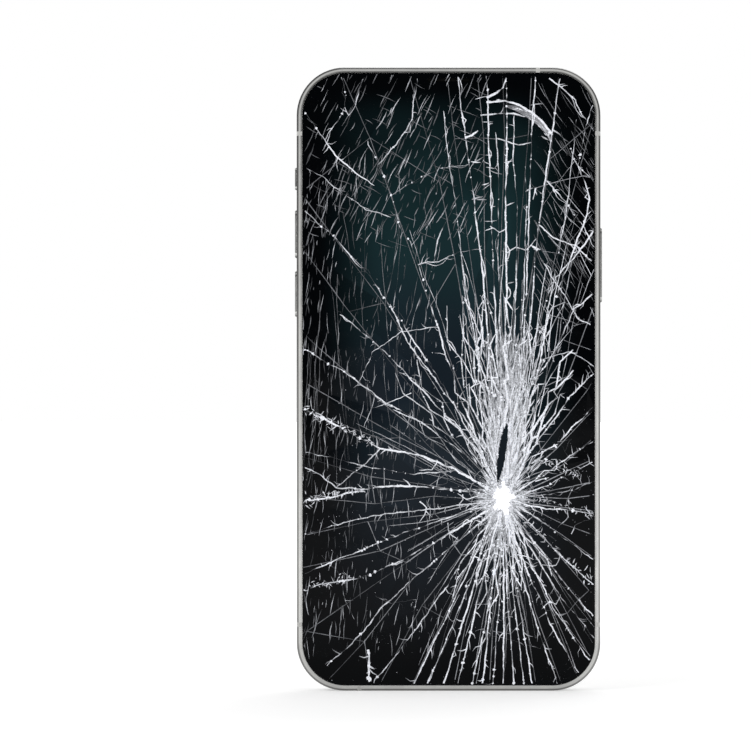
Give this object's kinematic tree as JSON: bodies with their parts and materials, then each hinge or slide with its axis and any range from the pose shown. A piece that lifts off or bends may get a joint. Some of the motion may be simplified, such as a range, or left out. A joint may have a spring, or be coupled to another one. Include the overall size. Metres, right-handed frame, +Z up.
{
  "type": "shattered screen phone",
  "caption": "Flat-sided handset with a shattered front glass, steel band, rear camera plateau, side buttons, mute switch, card tray and charging port.",
  "frame": {"origin": "centre of the bounding box, on the plane that the bottom edge stands on", "axes": "+Z up along the handset from its port to its top edge, -Y out of the screen, +X to the right as the screen is seen"},
  "size_m": [0.0724, 0.0092, 0.1467],
  "materials": {
    "steel_band": "polished, light wear",
    "antenna_plastic": "satin",
    "plate_aluminium": "milled",
    "back_glass": "satin coated glass over a white film",
    "front_glass": "gloss, shattered",
    "display": "gloss black, lit",
    "black_plastic": "moulded",
    "seal_rubber": "matte",
    "shield_steel": "pressed",
    "flex": "polyimide film",
    "mesh": "woven mesh",
    "lens_black": "matte black",
    "steel_ring": "polished",
    "lens_glass": "coated, blue reflections",
    "flash": "clear over warm reflector",
    "flash_phosphor": "matte",
    "scanner_glass": "dark gloss",
    "gold": "plated",
    "battery_wrap": "foil wrap",
    "adhesive": "stretch adhesive",
    "board": "solder mask",
    "card_plastic": "moulded",
    "port_shell": "plated",
    "screw": "plated",
    "copper": "enamelled copper wire",
    "magnet": "nickel plated"
  },
  "bodies": {
    "handset": {"frame_band": "steel_band", "antenna_breaks": "antenna_plastic", "chassis_plate": "plate_aluminium", "back_glass": "back_glass", "front_glass": "front_glass", "display_panel": "display", "display_frame": "black_plastic", "display_gasket": "seal_rubber", "display_back_plate": "shield_steel", "display_flex": "flex", "earpiece_speaker": "black_plastic", "earpiece_mesh": "mesh", "front_camera": "lens_black", "face_sensor": "lens_black", "face_projector": "lens_black", "sensor_bracket": "shield_steel", "camera_module_1": "lens_black", "camera_module_2": "lens_black", "camera_module_3": "lens_black", "lens_ring_1": "steel_ring", "lens_ring_2": "steel_ring", "lens_ring_3": "steel_ring", "lens_cover_1": "lens_glass", "lens_cover_2": "lens_glass", "lens_cover_3": "lens_glass", "camera_bracket": "shield_steel", "flash_lens": "flash", "flash_module": "flash_phosphor", "scanner_cover": "scanner_glass", "scanner_module": "lens_black", "rear_microphone": "gold", "battery": "battery_wrap", "battery_adhesive": "adhesive", "battery_flex": "flex", "logic_board": "board", "processor_shield": "shield_steel", "modem_shield": "shield_steel", "sim_reader": "shield_steel", "haptic_motor": "shield_steel", "loudspeaker": "black_plastic", "acoustic_meshes": "mesh", "microphone": "gold", "charging_port": "port_shell", "port_contacts": "gold", "lower_flex": "flex", "volume_bracket": "shield_steel", "volume_switches": "gold", "side_bracket": "shield_steel", "side_switch": "gold", "bottom_screws": "screw", "internal_screws": "screw", "charging_coil": "copper", "magnet_ring": "magnet"},
    "volume_up_button": {"volume_up_button": "steel_band"},
    "volume_down_button": {"volume_down_button": "steel_band"},
    "side_button": {"side_button": "steel_band"},
    "mute_switch": {"mute_switch": "steel_band"},
    "sim_tray": {"sim_tray": "steel_band", "sim_card": "card_plastic"}
  },
  "joints": [
    {"name": "volume_up_press", "type": "slide", "parent": "handset", "child": "volume_up_button", "axis": [1, 0, 0], "range_m": [0, 0.00025], "stiffness_N_per_m": 800, "springref_m": -0.0005},
    {"name": "volume_down_press", "type": "slide", "parent": "handset", "child": "volume_down_button", "axis": [1, 0, 0], "range_m": [0, 0.00025], "stiffness_N_per_m": 800, "springref_m": -0.0005},
    {"name": "side_button_press", "type": "slide", "parent": "handset", "child": "side_button", "axis": [-1, 0, 0], "range_m": [0, 0.00025], "stiffness_N_per_m": 800, "springref_m": -0.0005},
    {"name": "mute_switch_slide", "type": "slide", "parent": "handset", "child": "mute_switch", "axis": [0, 1, 0], "range_m": [0, 0.0012]},
    {"name": "sim_tray_slide", "type": "slide", "parent": "handset", "child": "sim_tray", "axis": [-1, 0, 0], "range_m": [0, 0.018]}
  ]
}
